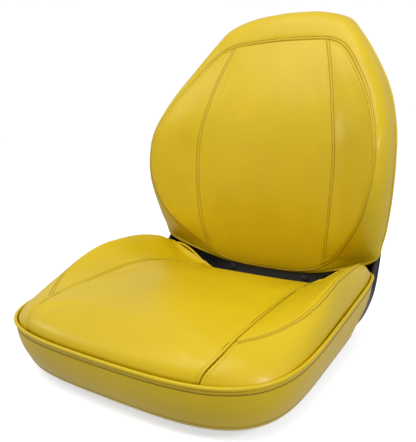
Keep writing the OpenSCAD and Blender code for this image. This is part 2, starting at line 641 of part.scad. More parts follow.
// The foam's rear face lies against the board, and past the board's ends against the shell
function foam_back_y(z) =
    back_line_y(z) - shell_t - boss_h / 2 - board_t - 1.8
    + (ease(z, 515, 548) + 0.7 * (1 - ease(z, 105, board_low - 6))) * (board_t + boss_h / 2);
module back_foam() {
    cols = 7;
    border_cols = 4;
    us = [for (u = back_rows) if (u > 0.02 && u < 0.975) u];
    skin = [for (u = us) full_row(back_half_row(u, cols, border_cols))];
    inside = offset_grid(skin, -foam_gap);
    w = len(inside[0]) - 1;
    front = [for (r = inside) [for (p = r) place(p)]];
    rear = [for (r = inside) [for (j = [0:w])
        let (
            p = r[j], h = r[0], f = abs(p.x) / abs(h.x), plane = foam_back_y(p.z),
            y = plane + (min(h.y, plane) + 2 - plane) * part_of(f, 0.78, 1) ^ 1.5
        )
        place([p.x * 0.985, max(y, p.y + 1.2), p.z])
    ]];
    color([0.93, 0.88, 0.7]) solid_between(front, rear);
}
module back_board() {
    hw = 146 * wide;
    r = 45;
    high = 500;
    run = (high - board_low) * tall / cos(back_tilt);
    inner = -shell_t - boss_h / 2;
    color([0.72, 0.58, 0.4]) difference() {
        on_back(0, board_low) translate([0, inner, 0]) rotate([90, 0, 0]) linear_extrude(board_t) union() {
            for (x = [-1, 1]) for (z = [r, run - r]) translate([x * (hw - r), z]) circle(r = r, $fn = 64);
            translate([-hw, r]) square([2 * hw, run - 2 * r]);
            translate([-hw + r, 0]) square([2 * (hw - r), run]);
        }
        back_points() along_y(t_nut_d + 0.2, inner - board_t - 2, inner + 2);
    }
}
module back_t_nuts() {
    color([0.8, 0.76, 0.6]) back_points() translate([0, -shell_t - boss_h / 2 - board_t, 0])
        rotate([90, 0, 0]) t_nut();
}
module back_cushion_screws() {
    tip = -shell_t - boss_h / 2 - board_t + 1;
    color([0.72, 0.72, 0.7]) back_points() {
        translate([0, 1.2, 0]) rotate([-90, 0, 0]) cylinder(d1 = 11, d2 = 7, h = 3.2, $fn = 32);
        along_y(screw_d, tip, 1.3);
    }
}
module back_screw_washers() {
    color([0.78, 0.78, 0.76]) back_points() difference() {
        along_y(16, 0, 1.2);
        along_y(screw_d + 0.5, -1, 3);
    }
}

// ---- Waist screws ------------------------------------------------------------------------------
module waist_screws() {
    color([0.3, 0.3, 0.31]) waist_points() {
        translate([0, -shell_t - 1.4 - 3, 0]) rotate([-90, 0, 0]) cylinder(d1 = 6, d2 = 11, h = 3, $fn = 32);
        along_y(screw_d, -shell_t - 1.5, 8);
    }
}
module waist_washers() {
    color([0.35, 0.35, 0.36]) waist_points() difference() {
        along_y(15, -shell_t - 1.4, -shell_t - 0.3);
        along_y(screw_d + 0.5, -shell_t - 3, 0);
    }
}
module waist_nuts() {
    color([0.72, 0.72, 0.7]) waist_points() difference() {
        translate([0, 1.2, 0]) rotate([-90, 0, 0]) cylinder(d = 11.5, h = 5, $fn = 6);
        along_y(screw_d + 0.1, 0, 8);
    }
}

// ---- Presence switch ---------------------------------------------------------------------------
barrel_d = 24;
cavity_d = 17;
flange_d = 38;
gasket_t = 1.2;
switch_low = 2.5;
cavity_low = 8;
cap_z = floor_top + 1; // underside of the cap, which stops the plunger
cap_h = 4;
plunger_gap = 0.08;
plunger_flange_h = 2;
plunger_top = board_top + 1;
spring_wire = 1.1;
spring_turns = 3.5;
module at_switch() {
    translate([0, switch_y, 0]) children();
}
module switch_body() {
    color([0.12, 0.12, 0.13]) at_switch() difference() {
        union() {
            translate([0, 0, switch_low]) cylinder(d = 30, h = floor_z - gasket_t - switch_low, $fn = 48);
            translate([0, 0, floor_z - gasket_t - 2]) cylinder(d = flange_d, h = 2, $fn = 48);
            translate([0, 0, floor_z - gasket_t]) cylinder(d = barrel_d, h = cap_z - floor_z + gasket_t, $fn = 48);
        }
        translate([0, 0, cavity_low]) cylinder(d = cavity_d, h = cap_z, $fn = 48);
        for (x = [-5, 5]) translate([x - 3.2, 10, 5]) cube([6.4, 10, 1]);
    }
}
module switch_cap() {
    color([0.75, 0.1, 0.08]) at_switch() translate([0, 0, cap_z]) difference() {
        cylinder(d = barrel_d, h = cap_h, $fn = 48);
        translate([0, 0, -1]) cylinder(d = plunger_d + 2 * plunger_gap, h = cap_h + 2, $fn = 48);
    }
}
module switch_plunger() {
    color([0.92, 0.92, 0.9]) at_switch() rotate_extrude($fn = 48) polygon([
        [0, cap_z - plunger_flange_h - 0.05], [cavity_d / 2 - 0.4, cap_z - plunger_flange_h - 0.05],
        [cavity_d / 2 - 0.4, cap_z - 0.05], [plunger_d / 2, cap_z - 0.05], [plunger_d / 2, plunger_top - 1],
        [plunger_d / 2 - 1, plunger_top], [0, plunger_top]
    ]);
}
module switch_spring() {
    z0 = cavity_low + spring_wire / 2 + 0.1;
    z1 = cap_z - plunger_flange_h - spring_wire / 2 - 0.15;
    r = cavity_d / 2 - 0.8 - spring_wire / 2;
    n = 56;
    color([0.75, 0.75, 0.74]) at_switch() open_tube([for (i = [0:n])
        let (a = 360 * spring_turns * i / n) [r * cos(a), r * sin(a), z0 + (z1 - z0) * i / n]
    ], spring_wire / 2);
}
module switch_gasket() {
    color([0.08, 0.08, 0.08]) at_switch() translate([0, 0, floor_z - gasket_t]) difference() {
        cylinder(d = flange_d, h = gasket_t, $fn = 48);
        translate([0, 0, -1]) cylinder(d = barrel_d + 0.6, h = gasket_t + 2, $fn = 48);
    }
}
module switch_terminals() {
    color([0.85, 0.7, 0.35]) at_switch() for (x = [-5, 5]) translate([x - 3.15, 10.5, 5.1]) cube([6.3, 14, 0.8]);
}
module drain_grommet() {
    color([0.08, 0.08, 0.08]) translate([0, drain_y, floor_z]) rotate_extrude($fn = 40) polygon([
        [5, -1.6], [drain_d / 2 + 3, -1.6], [drain_d / 2 + 3, 0], [drain_d / 2 - 0.1, 0],
        [drain_d / 2 - 0.1, shell_t], [drain_d / 2 + 3, shell_t], [drain_d / 2 + 3, shell_t + 1.6],
        [5, shell_t + 1.6]
    ]);
}

seat_shell();
left_rail();
right_rail();
weld_nuts();
rail_bolts();
rail_washers();
rail_nuts();
seat_base_board();
seat_t_nuts();
seat_cushion_screws();
seat_screw_washers();
seat_foam();
seat_centre_panel();
left_bolster_panel();
right_bolster_panel();
left_outer_panel();
right_outer_panel();
seat_boxing();
seat_bead();
back_board();
back_t_nuts();
back_cushion_screws();
back_screw_washers();
back_foam();
back_centre_panel();
left_wing_panel();
right_wing_panel();
back_border();
back_hem();
waist_screws();
waist_washers();
waist_nuts();
switch_body();
switch_cap();
switch_plunger();
switch_spring();
switch_gasket();
switch_terminals();
drain_grommet();
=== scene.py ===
import math

import bmesh
import bpy
from mathutils import Matrix, Vector, noise
from mathutils.bvhtree import BVHTree
from mathutils.kdtree import KDTree


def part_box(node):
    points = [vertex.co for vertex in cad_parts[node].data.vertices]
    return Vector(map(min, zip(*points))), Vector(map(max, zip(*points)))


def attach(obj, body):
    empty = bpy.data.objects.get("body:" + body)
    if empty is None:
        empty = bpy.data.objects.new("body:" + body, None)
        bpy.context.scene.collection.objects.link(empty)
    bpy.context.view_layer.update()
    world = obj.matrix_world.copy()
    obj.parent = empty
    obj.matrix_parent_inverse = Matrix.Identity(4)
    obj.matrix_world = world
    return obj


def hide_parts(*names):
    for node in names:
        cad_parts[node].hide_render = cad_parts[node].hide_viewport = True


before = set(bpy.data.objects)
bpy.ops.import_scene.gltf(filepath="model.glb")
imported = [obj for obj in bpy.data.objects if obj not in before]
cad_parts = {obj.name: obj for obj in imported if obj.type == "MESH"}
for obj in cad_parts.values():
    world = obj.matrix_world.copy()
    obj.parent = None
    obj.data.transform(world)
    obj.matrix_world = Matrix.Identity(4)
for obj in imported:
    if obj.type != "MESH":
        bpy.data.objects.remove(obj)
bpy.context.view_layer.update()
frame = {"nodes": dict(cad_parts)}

# ---- Camera ------------------------------------------------------------------------------------
# A normal lens a little above the cushion, turned towards the seat's front right corner,
# so that the cushion's front, its right side and the whole of the back show.
camera_place = (0.4450, -0.7225, 0.3746)
camera_tilt = math.radians(79.5)
camera_turn = math.radians(32.3)
bpy.ops.object.camera_add(location=camera_place, rotation=(camera_tilt, 0, camera_turn))
camera = bpy.context.object
camera.name = "photo_camera"
camera.data.lens = 41.28
camera.data.sensor_width = 36
bpy.context.scene.camera = camera

# ---- Studio ------------------------------------------------------------------------------------
# A pale floor under the rails, a white backdrop that only the camera sees, and soft lamps: a broad
# one overhead that does most of the work, and two weaker ones that draw the long highlights.
bpy.context.scene.view_settings.view_transform = "Standard"
world = bpy.data.worlds.new("studio_air")
bpy.context.scene.world = world
world.use_nodes = True
world.node_tree.nodes["Background"].inputs["Color"].default_value = (1, 1, 1, 1)
world.node_tree.nodes["Background"].inputs["Strength"].default_value = 0.54


def stage_paint(name, colour, glow):
    """Matt paint for the studio; glow is the strength of its own white light."""
    material = bpy.data.materials.new(name)
    material.use_nodes = True
    shader = material.node_tree.nodes["Principled BSDF"]
    shader.inputs["Base Color"].default_value = (*colour, 1)
    shader.inputs["Roughness"].default_value = 0.9
    shader.inputs["Emission Color"].default_value = (1, 1, 1, 1)
    shader.inputs["Emission Strength"].default_value = glow
    return material


bpy.ops.mesh.primitive_plane_add(size=14, location=(0, 0, -0.0004))
floor = bpy.context.object
floor.name = "studio_floor"
floor.data.materials.append(stage_paint("floor_paint", (0.93, 0.93, 0.93), 0.55))
bpy.ops.mesh.primitive_uv_sphere_add(radius=9, segments=32, ring_count=16)
backdrop = bpy.context.object
backdrop.name = "studio_backdrop"
backdrop.data.materials.append(stage_paint("backdrop_paint", (0, 0, 0), 1.0))
backdrop.visible_diffuse = False
backdrop.visible_glossy = False
backdrop.visible_transmission = False
backdrop.visible_shadow = False
floor.visible_diffuse = False
floor.visible_glossy = False


def softbox(name, place, aim, size, power):
    """A square soft lamp at place that shines towards aim."""
    turn = (Vector(aim) - Vector(place)).to_track_quat("-Z", "Y").to_euler()
    bpy.ops.object.light_add(type="AREA", location=place, rotation=turn)
    lamp = bpy.context.object
    lamp.name = name
    lamp.data.size = size
    lamp.data.energy = power


softbox("overhead_lamp", (-0.1, -0.8, 2.1), (0, -0.05, 0.2), 1.8, 28)
softbox("left_lamp", (-1.7, -1.1, 1.0), (0, 0, 0.3), 0.5, 5)
softbox("right_lamp", (1.7, -0.5, 1.2), (0, 0, 0.3), 0.45, 12)

# ---- Seat cushion ------------------------------------------------------------------------------
# A moulded foam block under a sewn vinyl cover: a broad centre panel, a leaf-shaped bolster panel
# on each side and an outer panel that rolls down to the bead. The cover is cut a little full, so
# each panel swells between its seams; it is blown up as cloth with the seams held.
MM = 0.001
bead_low, bead_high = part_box("seat_bead")
bead_r = 2.8
bow_y = 9  # the front edge bows forward and down in its middle
bow_z = 3
half_w = bead_high.x / MM - bead_r
front_y = bead_low.y / MM + bead_r + bow_y
rear_y = bead_high.y / MM - bead_r
mid_y = (front_y + rear_y) / 2
half_d = (rear_y - front_y) / 2
front_edge_z = 85
bolster_h = 41
tip_y = -216  # where the two bolster seams meet
bead_clear = bead_r + 0.3
front_square = 4.5
rear_square = 8


def part_of(v, low, high):
    return min(max((v - low) / (high - low), 0.0), 1.0)


def ease(v, low, high):
    t = part_of(v, low, high)
    return t * t * (3 - 2 * t)


def roll(depth, radius):
    """Rise of a quarter ellipse: 0 at its foot, 1 past its radius."""
    t = part_of(depth, 0, radius)
    return math.sqrt(1 - (1 - t) ** 2)


def squareness(s):
    return front_square if s < 0 else rear_square


def edge(angle, inset=0.0):
    """Point of the cushion's rounded outline at a polar angle in degrees."""
    c, s = math.cos(math.radians(angle)), math.sin(math.radians(angle))
    n = squareness(s)
    r = (abs(c) ** n + abs(s) ** n) ** (-1 / n)
    return (half_w - inset) * c * r, mid_y + (half_d - inset) * s * r


def side_x(y):
    t = min(abs(y - mid_y) / half_d, 1)
    n = squareness(y - mid_y)
    return half_w * (1 - t**n) ** (1 / n)


def end_of(x, direction):
    """Front (-1) or rear (1) of the outline at x."""
    n = squareness(direction)
    return mid_y + direction * half_d * (1 - min(abs(x) / half_w, 1) ** n) ** (1 / n)


def edge_z(x, y):
    side = front_edge_z + 46 * part_of(y, front_y, rear_y) ** 1.3
    return side - (1 - ease(abs(x), 90, 200)) * (side - 74) * ease(y, 22, rear_y - 3)


def inner_seam_x(y):
    return 164.5 - 34 * part_of(y, -8, 143) ** 1.8 - 16 * part_of(-y, 228, 278) ** 2.5


def crest_x(y):
    return 164 + 65 * (1 - (1 - part_of(y, tip_y, -44)) ** 2.5) - 18 * part_of(y, 22, 172) ** 2


def seat_z(x, y):
    """Height of the unswollen cover."""
    ax = abs(x)
    crest = 119 + (bolster_h + 3) * ease(y, tip_y, -13) - 32 * part_of(y, 22, 172) ** 2
    centre = 122 - 42 * part_of(y, -58, 172) ** 1.9
    full = centre + (crest - centre) * part_of(ax, 95, crest_x(y)) ** 2.6
    low = edge_z(x, y)
    side_room = max(side_x(y) - crest_x(y), 6) + 9
    rise = roll(side_x(y) - ax, side_room) * roll(y - end_of(x, -1), 66) * roll(end_of(x, 1) - y, 30)
    return low + (full - low) * rise


def seat_point(x, y, z, clear=bead_clear):
    """Place of a point of the cover in metres, bowed at the front and tucked inside the bead."""
    x, y = x * (half_w - clear) / half_w, mid_y + (y - mid_y) * (half_d - clear) / half_d
    bow = (1 - min(abs(x) / half_w, 1) ** 2) * part_of(mid_y - y, 0, half_d) ** 4
    return Vector((x, y - bow_y * bow, z - bow_z * bow)) * MM


def on_seat(x, y):
    return seat_point(x, y, seat_z(x, y))


near_seam = (0, 1.1, 2.5, 4.2, 5.3, 7.0, 10)  # rows of the mesh beside every seam, in millimetres


def spread(width, count):
    """Positions across a panel, from 0 to 1: close together beside the seams and even between."""
    squeeze = min(1, width / 46)
    ends = [d * squeeze for d in near_seam]
    gap = (width - 2 * ends[-1]) / (count + 1)
    middle = [ends[-1] + gap * (i + 1) for i in range(count)]
    return [p / width for p in ends + middle + [width - e for e in reversed(ends)]]


def quilt(grids):
    """One mesh from rows of points; each grid is a panel, and panels join where their edges meet."""
    mesh = bpy.data.meshes.new("cover")
    points, faces, panel = [], [], []
    for k, grid in enumerate(grids):
        start, w = len(points), len(grid[0])
        points += [p for row in grid for p in row]
        panel += [k] * (len(grid) * w)
        for i in range(len(grid) - 1):
            for j in range(w - 1):
                a = start + i * w + j
                faces.append((a, a + 1, a + w + 1, a + w))
    mesh.from_pydata(points, [], faces)
    mesh.attributes.new("panel", "FLOAT", "POINT").data.foreach_set("value", [float(k) for k in panel])
    return mesh


def mirror_x(grid):
    return [[Vector((-p.x, p.y, p.z)) for p in reversed(row)] for row in grid]


seat_rows = 78
seam_front = end_of(148.5, -1)
seam_rear = end_of(130.5, 1)
row_shares = [
    0.5 * i / seat_rows + 0.25 * (1 - math.cos(math.pi * i / seat_rows)) for i in range(seat_rows + 1)
]
row_ys = [seam_front + t * (seam_rear - seam_front) for t in row_shares]
tip_row = min(range(len(row_ys)), key=lambda i: abs(row_ys[i] - tip_y))
row_ys[tip_row] = tip_y


def centre_row(i):
    y, t = row_ys[i], row_shares[i]
    half = inner_seam_x(y)
    row = []
    for f in spread(2 * half, 44):
        x = (2 * f - 1) * half
        shift = (end_of(x, -1) - seam_front) * (1 - t) ** 3 + (end_of(x, 1) - seam_rear) * t**3
        row.append(on_seat(x, y + shift))
    return row


crest_rear = 211.0


def crest_point(i):
    y = row_ys[i] + (end_of(crest_rear, 1) - seam_rear) * row_shares[i] ** 3
    return crest_x(y), y


def leaf_row(i):
    (x0, y0), (x1, y1) = (inner_seam_x(row_ys[i]), row_ys[i]), crest_point(i)
    width = max(x1 - x0, 0.01)
    return [on_seat(x0 + f * (x1 - x0), y0 + f * (y1 - y0)) for f in spread(width, 4)]


def arc_walk(path, count):
    """count + 1 points evenly spaced along a path."""
    lengths = [0]
    for a, b in zip(path, path[1:]):
        lengths.append(lengths[-1] + math.dist(a, b))
    out, k = [], 0
    for i in range(count + 1):
        s = lengths[-1] * i / count
        while k < len(path) - 2 and lengths[k + 1] < s:
            k += 1
        t = (s - lengths[k]) / (lengths[k + 1] - lengths[k])
        out.append(tuple(a + t * (b - a) for a, b in zip(path[k], path[k + 1])))
    return out


def edge_angle(x, y):
    return math.degrees(math.atan2((y - mid_y) / half_d, x / half_w))


outer_from = edge_angle(inner_seam_x(seam_front), seam_front)
outer_to = edge_angle(crest_rear, end_of(crest_rear, 1))
outer_path = [edge(outer_from + (outer_to - outer_from) * i / 400) for i in range(401)]
outer_edge = arc_walk(outer_path, seat_rows)


def outer_row(i):
    x0, y0 = (inner_seam_x(row_ys[i]), row_ys[i]) if i <= tip_row else crest_point(i)
    x1, y1 = outer_edge[i]
    width = math.dist((x0, y0, seat_z(x0, y0)), (x1, y1, seat_z(x1, y1)))
    fractions = spread(max(width, 0.01), 4)
    return [on_seat(x0 + f**0.8 * (x1 - x0), y0 + f**0.8 * (y1 - y0)) for f in fractions]


seat_centre = [centre_row(i) for i in range(seat_rows + 1)]
right_leaf = [leaf_row(i) for i in range(tip_row, seat_rows + 1)]
right_outer = [outer_row(i) for i in range(seat_rows + 1)]
seat_mesh = quilt([seat_centre, right_leaf, mirror_x(right_leaf), right_outer, mirror_x(right_outer)])


def outward_faces(piece):
    """Turns the faces of an open sheet so that they look away from the seat's middle."""
    mesh = piece.data
    mesh.update()
    looks = sum(p.normal.dot(p.center - Vector((0, mid_y, 60)) * MM) for p in mesh.polygons)
    if looks < 0:
        mesh.flip_normals()


def close_below(mesh, rings):
    """Carries the open rim of a cover on through rings, functions that place the next ring, and fills it."""
    bm = bmesh.new()
    bm.from_mesh(mesh)
    bmesh.ops.remove_doubles(bm, verts=bm.verts, dist=0.00012)
    bmesh.ops.dissolve_degenerate(bm, dist=0.00002, edges=bm.edges)
    bmesh.ops.holes_fill(bm, edges=[e for e in bm.edges if e.is_boundary], sides=8)
    bmesh.ops.recalc_face_normals(bm, faces=bm.faces)
    hidden = bm.verts.layers.float.new("hidden")
    rim = [e for e in bm.edges if len(e.link_faces) == 1]
    for ring in rings:
        made = bmesh.ops.extrude_edge_only(bm, edges=rim)["geom"]
        for v in (g for g in made if isinstance(g, bmesh.types.BMVert)):
            v.co = ring(v.co)
            v[hidden] = 1
        rim = [g for g in made if isinstance(g, bmesh.types.BMEdge) and len(g.link_faces) == 1]
    bmesh.ops.holes_fill(bm, edges=rim)
    bmesh.ops.recalc_face_normals(bm, faces=bm.faces)
    bmesh.ops.triangulate(bm, faces=[f for f in bm.faces if len(f.verts) > 4])
    bm.to_mesh(mesh)
    bm.free()


def toward(p, inset, z=None):
    """A point moved towards the cushion's middle by inset, at height z."""
    x, y = p.x / MM, p.y / MM
    k = 1 - inset / math.hypot(x, y - mid_y)
    return Vector((x * k, mid_y + (y - mid_y) * k, p.z / MM if z is None else z)) * MM


foam_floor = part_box("seat_foam")[0].z / MM
close_below(
    seat_mesh,
    [lambda p: toward(p, 4, p.z / MM - 4), lambda p: toward(p, 9, p.z / MM - 12),
     lambda p: toward(p, 36, max(p.z / MM - 34, foam_floor + 14)), lambda p: toward(p, 16, foam_floor)],
)


def seam_tree(lines):
    """Nearest-point search over the points of several seams."""
    points = [p for line in lines for p in line]
    tree = KDTree(len(points))
    for i, p in enumerate(points):
        tree.insert(p, i)
    tree.balance()
    return tree


def swell(piece, held, pressure, limit):
    """Blows a cover up from inside as cloth; held vertices stay, and no other moves over limit metres."""
    bpy.ops.object.select_all(action="DESELECT")
    bpy.context.view_layer.objects.active = piece
    piece.select_set(True)
    start = [v.co.copy() for v in piece.data.vertices]
    group = piece.vertex_groups.new(name="sewn")
    group.add([i for i, h in enumerate(held) if h], 1.0, "REPLACE")
    cloth = piece.modifiers.new("cloth", "CLOTH")
    cloth.settings.quality = 6
    cloth.settings.mass = 0.02
    cloth.settings.tension_stiffness = 30
    cloth.settings.compression_stiffness = 30
    cloth.settings.bending_stiffness = 6
    cloth.settings.use_pressure = True
    cloth.settings.uniform_pressure_force = pressure
    cloth.settings.vertex_group_mass = "sewn"
    cloth.settings.effector_weights.gravity = 0
    cloth.point_cache.frame_start = 1
    cloth.point_cache.frame_end = 20
    for number in range(1, 21):
        bpy.context.scene.frame_set(number)
    blown = piece.evaluated_get(bpy.context.evaluated_depsgraph_get())
    moved = [v.co.copy() for v in blown.data.vertices]
    piece.modifiers.remove(cloth)
    bpy.context.scene.frame_set(1)
    piece.vertex_groups.remove(group)
    for v, a, b in zip(piece.data.vertices, start, moved):
        step = b - a
        if step.length > 0:
            v.co = a + step * (limit * math.tanh(step.length / limit) / step.length)


def new_piece(name, mesh):
    mesh.name = name
    piece = bpy.data.objects.new(name, mesh)
    bpy.context.scene.collection.objects.link(piece)
    return piece


def smooth(piece, levels):
    """One Subdivision Surface, applied, with smooth shading."""
    bpy.ops.object.select_all(action="DESELECT")
    bpy.context.view_layer.objects.active = piece
    piece.select_set(True)
    if levels:
        divide = piece.modifiers.new("finer", "SUBSURF")
        divide.levels = divide.render_levels = levels
        bpy.ops.object.modifier_apply(modifier=divide.name)
    bpy.ops.object.shade_smooth()


stitch_offset = 5.2
seam_reach = 6.2 * MM  # cover held still this near a seam, so that the topstitch lies flat


def sew(piece, tree, stitched, groove=1.15, dimple=0.5):
    """Presses the seam fold, and the topstitch beside it, into a cover, and records both as seam_shade, which
    the vinyl's finish paints as shade in them.
    """
    mesh = piece.data
    shade = mesh.attributes.new("seam_shade", "FLOAT", "POINT")
    panels = mesh.attributes["panel"].data
    normals = [v.normal.copy() for v in mesh.vertices]
    values = []
    for v, n, k in zip(mesh.vertices, normals, panels):
        distance = tree.find(v.co)[2] / MM
        fold = math.exp(-((distance / 1.05) ** 2))
        stitch = math.exp(-(((distance - stitch_offset) / 0.85) ** 2)) if stitched(v.co, k.value) else 0
        gather = 0.45 * noise.noise(v.co * 95) * math.exp(-distance / 10)
        v.co -= n * (groove * fold + dimple * stitch + gather) * MM
        # painted shade: the share by which the vinyl's colour is darkened in the fold and the stitch dimple
        values.append(min(fold + 0.4 * stitch, 1))
    shade.data.foreach_set("value", values)


inner_line = [on_seat(inner_seam_x(y), y) for (y,) in arc_walk([(seam_front,), (seam_rear,)], 900)]
crest_line = [on_seat(crest_x(y), y) for (y,) in arc_walk([(tip_y,), (end_of(crest_rear, 1),)], 900)]
bead_line = [seat_point(*edge(a / 4), edge_z(*edge(a / 4))) for a in range(1440)]


def flip(line):
    return [Vector((-p.x, p.y, p.z)) for p in line]


seat_seams = [inner_line, crest_line, flip(inner_line), flip(crest_line)]
seat_cover = new_piece("seat_cushion", seat_mesh)
seat_tree = seam_tree(seat_seams)
rim_tree = seam_tree([bead_line])
hidden = [d.value > 0.5 for d in seat_mesh.attributes["hidden"].data]
held = [
    h or seat_tree.find(v.co)[2] < seam_reach or rim_tree.find(v.co)[2] < 3 * MM
    for v, h in zip(seat_mesh.vertices, hidden)
]
swell(seat_cover, held, 4, 0.007)
smooth(seat_cover, 1)
sew(seat_cover, seat_tree, lambda p, panel: abs(p.x) / MM < inner_seam_x(p.y / MM) or panel > 2.5)


class Socket:
    """A socket in a material's tree: arithmetic on it adds Math nodes."""

    def __init__(self, tree, out=None):
        self.tree = tree
        self.out = out

    def add(self, kind, settings, sockets, output=0):
        """Adds a node: its settings first, then the values or links of its sockets."""
        node = self.tree.nodes.new(kind)
        for name, value in settings.items():
            setattr(node, name, value)
        for key, value in sockets.items():
            if isinstance(value, Socket):
                self.tree.links.new(value.out, node.inputs[key])
            else:
                node.inputs[key].default_value = value
        return Socket(self.tree, node.outputs[output])

    def maths(self, operation, *values):
        return self.add("ShaderNodeMath", {"operation": operation}, dict(enumerate(values)))

    def __add__(self, other):
        return self.maths("ADD", self, other)

    __radd__ = __add__

    def __sub__(self, other):
        return self.maths("SUBTRACT", self, other)

    def __rsub__(self, other):
        return self.maths("SUBTRACT", other, self)

    def __mul__(self, other):
        return self.maths("MULTIPLY", self, other)

    __rmul__ = __mul__

    def between(self, low, high):
        """0 below low, 1 above high and smooth between."""
        sockets = {"Value": self, "From Min": low, "From Max": high}
        return self.add("ShaderNodeMapRange", {"interpolation_type": "SMOOTHSTEP"}, sockets)

    def mix(self, first, second):
        """Two colours mixed, this socket being the share of the second."""
        sockets = {0: self, 6: as_colour(first), 7: as_colour(second)}
        return self.add("ShaderNodeMix", {"data_type": "RGBA"}, sockets, 2)

    def cloud(self, scale, detail=2.0):
        """Noise of a number of lumps per metre, this socket being the place."""
        sockets = {"Vector": self, "Scale": scale, "Detail": detail}
        return self.add("ShaderNodeTexNoise", {}, sockets, "Fac")

    def raised(self, height, depth):
        """A bumped normal for a height from 0 to 1 that stands for depth metres."""
        return self.add("ShaderNodeBump", {}, {"Height": height, "Distance": depth}, "Normal")


def as_colour(value):
    return value if isinstance(value, Socket) else (*value, 1)


def start_finish(name, **constants):
    """A new material with constant values on its shader, and the place on the piece to pattern it by."""
    material = bpy.data.materials.new(name)
    material.use_nodes = True
    shader = material.node_tree.nodes["Principled BSDF"]
    for key, value in constants.items():
        shader.inputs[key.replace("_", " ")].default_value = value
    return material, shader, Socket(material.node_tree).add("ShaderNodeTexCoord", {}, {}, "Object")


def drive(shader, **sockets):
    """Links patterned sockets to a shader's inputs."""
    for key, socket in sockets.items():
        socket.tree.links.new(socket.out, shader.inputs[key.replace("_", " ")])


def shade_of(colour, gain):
    return tuple(min(c * gain, 1) for c in colour)


vinyl_yellow = (0.62, 0.435, 0.004)
vinyl_grain_cells = 1500  # leather grain cells per metre
vinyl_grain_depth = 0.00005


def vinyl_finish():
    """Upholstery vinyl: fine pressed grain, a soft sheen, duller at the seams and darkened there with painted
    shade in their folds.
    """
    material, shader, place = start_finish("yellow_vinyl", Coat_Roughness=0.25, Specular_IOR_Level=0.18)
    seam = place.add("ShaderNodeAttribute", {"attribute_name": "seam_shade"}, {}, "Fac")
    grain = place.add(
        "ShaderNodeTexVoronoi", {"feature": "DISTANCE_TO_EDGE"},
        {"Vector": place, "Scale": vinyl_grain_cells}, "Distance",
    )
    pebble = grain.between(0.0, 0.25)
    broad = place.cloud(7, 3).between(0.3, 0.7)
    scuffs = place.cloud(55, 4).between(0.55, 0.75)
    body = broad.mix(shade_of(vinyl_yellow, 0.95), shade_of(vinyl_yellow, 1.05))
    # painted shade: the colour darkens towards deep brown where seam_shade marks a seam's fold and its
    # topstitch
    seam_shaded_body = (0.42 * seam).mix(body, (0.20, 0.11, 0.004))
    drive(
        shader,
        Base_Color=(0.05 * scuffs).mix(seam_shaded_body, (0.30, 0.21, 0.06)),
        Roughness=0.34 + 0.05 * broad + 0.10 * scuffs + 0.15 * seam,
        Coat_Weight=0.32 - 0.25 * seam,
        Normal=place.raised(pebble + 0.3 * place.cloud(900, 2), vinyl_grain_depth),
    )
    return material


def thread_finish():
    """Bonded nylon thread, with a twist that shows as fine ribs."""
    material, shader, place = start_finish("brown_thread", Specular_IOR_Level=0.4)
    ply = place.cloud(2600, 1)
    drive(
        shader,
        Base_Color=ply.mix((0.050, 0.024, 0.006), (0.115, 0.060, 0.014)),
        Roughness=0.5 + 0.15 * ply,
        Normal=place.raised(ply, 0.00008),
    )
    return material


vinyl = vinyl_finish()
thread = thread_finish()


def fit_out(piece, material, slot, *nodes):
    """Gives a finished piece its finish and its place on the seat, and hides the nodes that it stands for."""
    piece.data.materials.clear()
    piece.data.materials.append(material)
    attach(piece, "seat")
    if nodes:
        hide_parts(*nodes)


def surface_of(piece):
    mesh = piece.data
    return BVHTree.FromPolygons([v.co for v in mesh.vertices], [p.vertices for p in mesh.polygons])


def beside(line, surface, offset, pitch, side_sign=1):
    """Places, directions and normals of stitches along a seam, offset to one side of it."""
    length = sum(math.dist(a, b) for a, b in zip(line, line[1:]))
    walk = [Vector(p) for p in arc_walk(line, max(int(length / pitch), 2))]
    normals = [surface.find_nearest(p)[1] for p in walk]
    track = []
    for i in range(1, len(walk) - 1):
        along_seam = (walk[i + 1] - walk[i - 1]).normalized()
        level = sum(normals[max(i - even_span, 0):i + even_span + 1], Vector())
        aside = along_seam.cross(level).normalized() * side_sign
        found, normal = surface.find_nearest(walk[i] + aside * offset)[:2]
        track.append((found, along_seam, normal))
    return track


even_span = 6  # stitches each way over which the lie of a seam is averaged
stitch_pitch = 4.0 * MM
stitch_length = 3.1 * MM
thread_r = 0.36 * MM


def stitch_row(name, tracks, thickness=1.0):
    """Lock stitches: one capsule of thread modelled once and copied along every track, then joined."""
    bpy.ops.object.select_all(action="DESELECT")
    radius = thread_r * thickness
    bpy.ops.mesh.primitive_uv_sphere_add(segments=6, ring_count=5, radius=radius)
    model = bpy.context.object
    for v in model.data.vertices:
        v.co.z += math.copysign(stitch_length / 2 - radius, v.co.z)
    copies = []
    for place, direction, normal in (spot for track in tracks for spot in track):
        copy = model.copy()
        copy.data = model.data.copy()
        aside = normal.cross(direction).normalized()
        up = direction.cross(aside).normalized()
        turn = Matrix((aside, up, direction)).transposed().to_4x4()
        copy.data.transform(Matrix.Translation(place + normal * 0.12 * MM) @ turn)
        bpy.context.scene.collection.objects.link(copy)
        copy.select_set(True)
        copies.append(copy)
    model.select_set(False)
    bpy.context.view_layer.objects.active = copies[0]
    bpy.ops.object.join()
    piece = bpy.context.object
    piece.name = name
    bpy.data.objects.remove(model)
    bpy.ops.object.shade_smooth()
    fit_out(piece, thread, "yellow_vinyl")


fit_out(
    seat_cover, vinyl, "yellow_vinyl", "seat_foam", "seat_centre_panel", "left_bolster_panel",
    "right_bolster_panel", "left_outer_panel", "right_outer_panel",
)
seat_surface = surface_of(seat_cover)
offset = stitch_offset * MM
stitch_row("seat_inner_stitches", [
    beside(inner_line, seat_surface, offset, stitch_pitch, -1),
    beside(flip(inner_line), seat_surface, offset, stitch_pitch, 1),
])
stitch_row("seat_crest_stitches", [
    beside(crest_line, seat_surface, offset, stitch_pitch, 1),
    beside(flip(crest_line), seat_surface, offset, stitch_pitch, -1),
])

